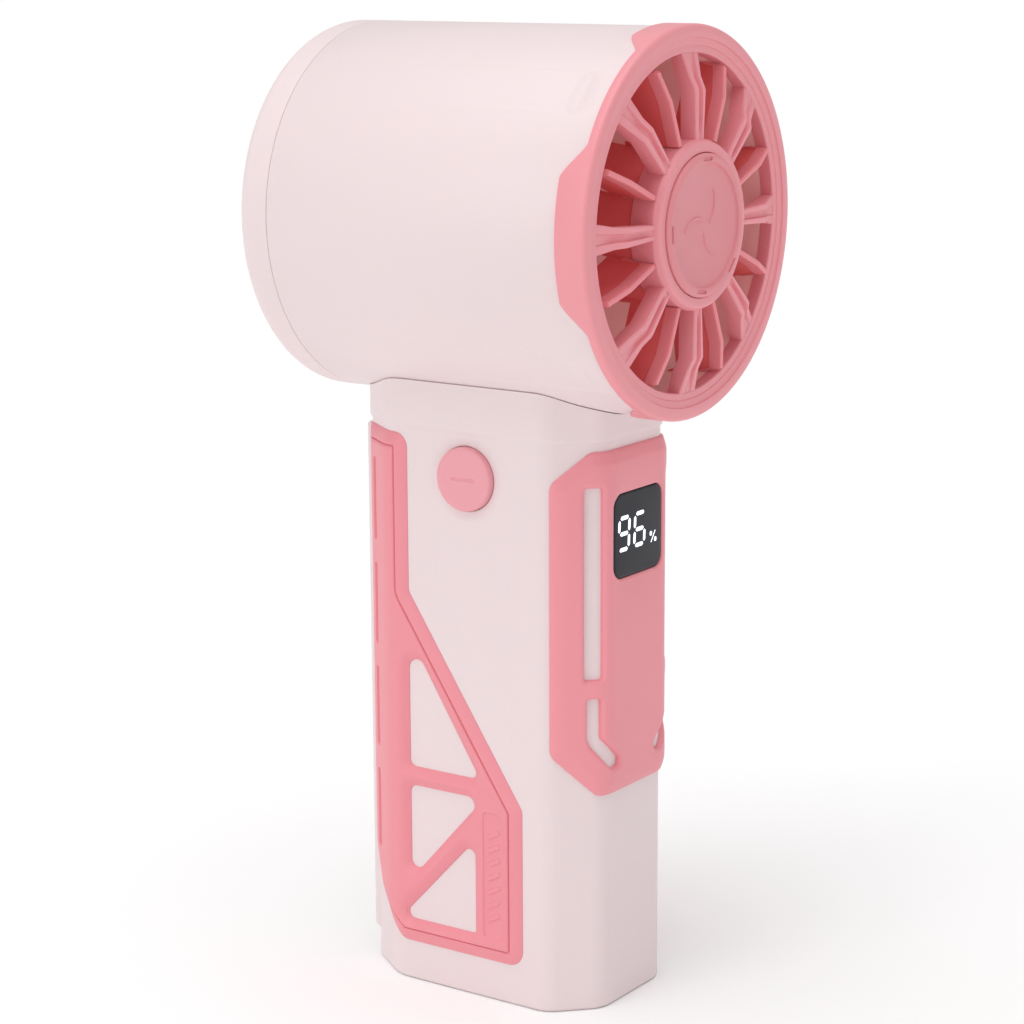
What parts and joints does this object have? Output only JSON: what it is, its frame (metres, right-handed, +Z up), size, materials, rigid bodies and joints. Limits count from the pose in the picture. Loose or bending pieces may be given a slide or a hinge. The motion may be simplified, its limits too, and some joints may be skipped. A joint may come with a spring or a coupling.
{
  "type": "handheld fan",
  "caption": "Handheld turbo fan: round ducted head with a spoked grille, on an angular battery handle with a percentage display and round side buttons.",
  "frame": {"origin": "centre of the base, on the face it stands on", "axes": "+Z up along the handle, -Y out of the grille, -X the side with the minus key"},
  "size_m": [0.0656, 0.0746, 0.1705],
  "materials": {
    "pale_shell": "satin",
    "pink_trim": "satin",
    "pink_duct": "satin",
    "smoked_lens": "polished",
    "lit_digits": "lit",
    "white_plastic": "moulded",
    "steel": "ground",
    "motor_alloy": "turned",
    "laminations": "stacked",
    "copper_wire": "enamelled",
    "magnet": "matt",
    "circuit_board": "solder mask",
    "black_parts": "moulded",
    "cell_wrap": "shrink wrap",
    "nickel": "plain",
    "wire_cover": "insulation"
  },
  "bodies": {
    "casing": {"head_barrel": "pale_shell", "duct_liner": "pale_shell", "rear_cover": "pale_shell", "intake_grille": "pale_shell", "front_grille": "pink_trim", "hub_badge": "pink_trim", "stator_vanes": "pink_duct", "motor_base": "motor_alloy", "motor_screws": "steel", "bearing_front": "steel", "bearing_rear": "steel", "motor_core": "laminations", "motor_windings": "copper_wire", "handle_shell": "pale_shell", "base_cap": "pale_shell", "base_screws": "steel", "front_panel": "pink_trim", "trim_left": "pink_trim", "trim_right": "pink_trim", "spine_cover": "pale_shell", "side_switches": "steel", "main_board": "circuit_board", "board_parts": "black_parts", "display_board": "circuit_board", "display_module": "white_plastic", "display_lens": "smoked_lens", "display_digits": "lit_digits", "usb_board": "circuit_board", "usb_socket": "nickel", "battery_cells": "cell_wrap", "battery_tabs": "nickel", "battery_carrier": "black_parts", "motor_leads": "wire_cover", "battery_leads": "wire_cover", "usb_leads": "wire_cover"},
    "rotor": {"impeller": "pink_duct", "rotor_bell": "motor_alloy", "rotor_magnet": "magnet", "motor_shaft": "steel"},
    "minus_key": {"minus_button": "pink_trim", "minus_plunger": "black_parts"},
    "plus_key": {"plus_button": "pink_trim", "plus_plunger": "black_parts"}
  },
  "joints": [
    {"name": "impeller_spin", "type": "hinge", "parent": "casing", "child": "rotor", "pos_m": [0, 0, 0.13765], "axis": [0, -1, 0], "continuous": true},
    {"name": "minus_press", "type": "slide", "parent": "casing", "child": "minus_key", "axis": [1, 0, 0], "range_m": [0, 0.0006], "stiffness_N_per_m": 1500},
    {"name": "plus_press", "type": "slide", "parent": "casing", "child": "plus_key", "axis": [-1, 0, 0], "range_m": [0, 0.0006], "stiffness_N_per_m": 1500}
  ]
}
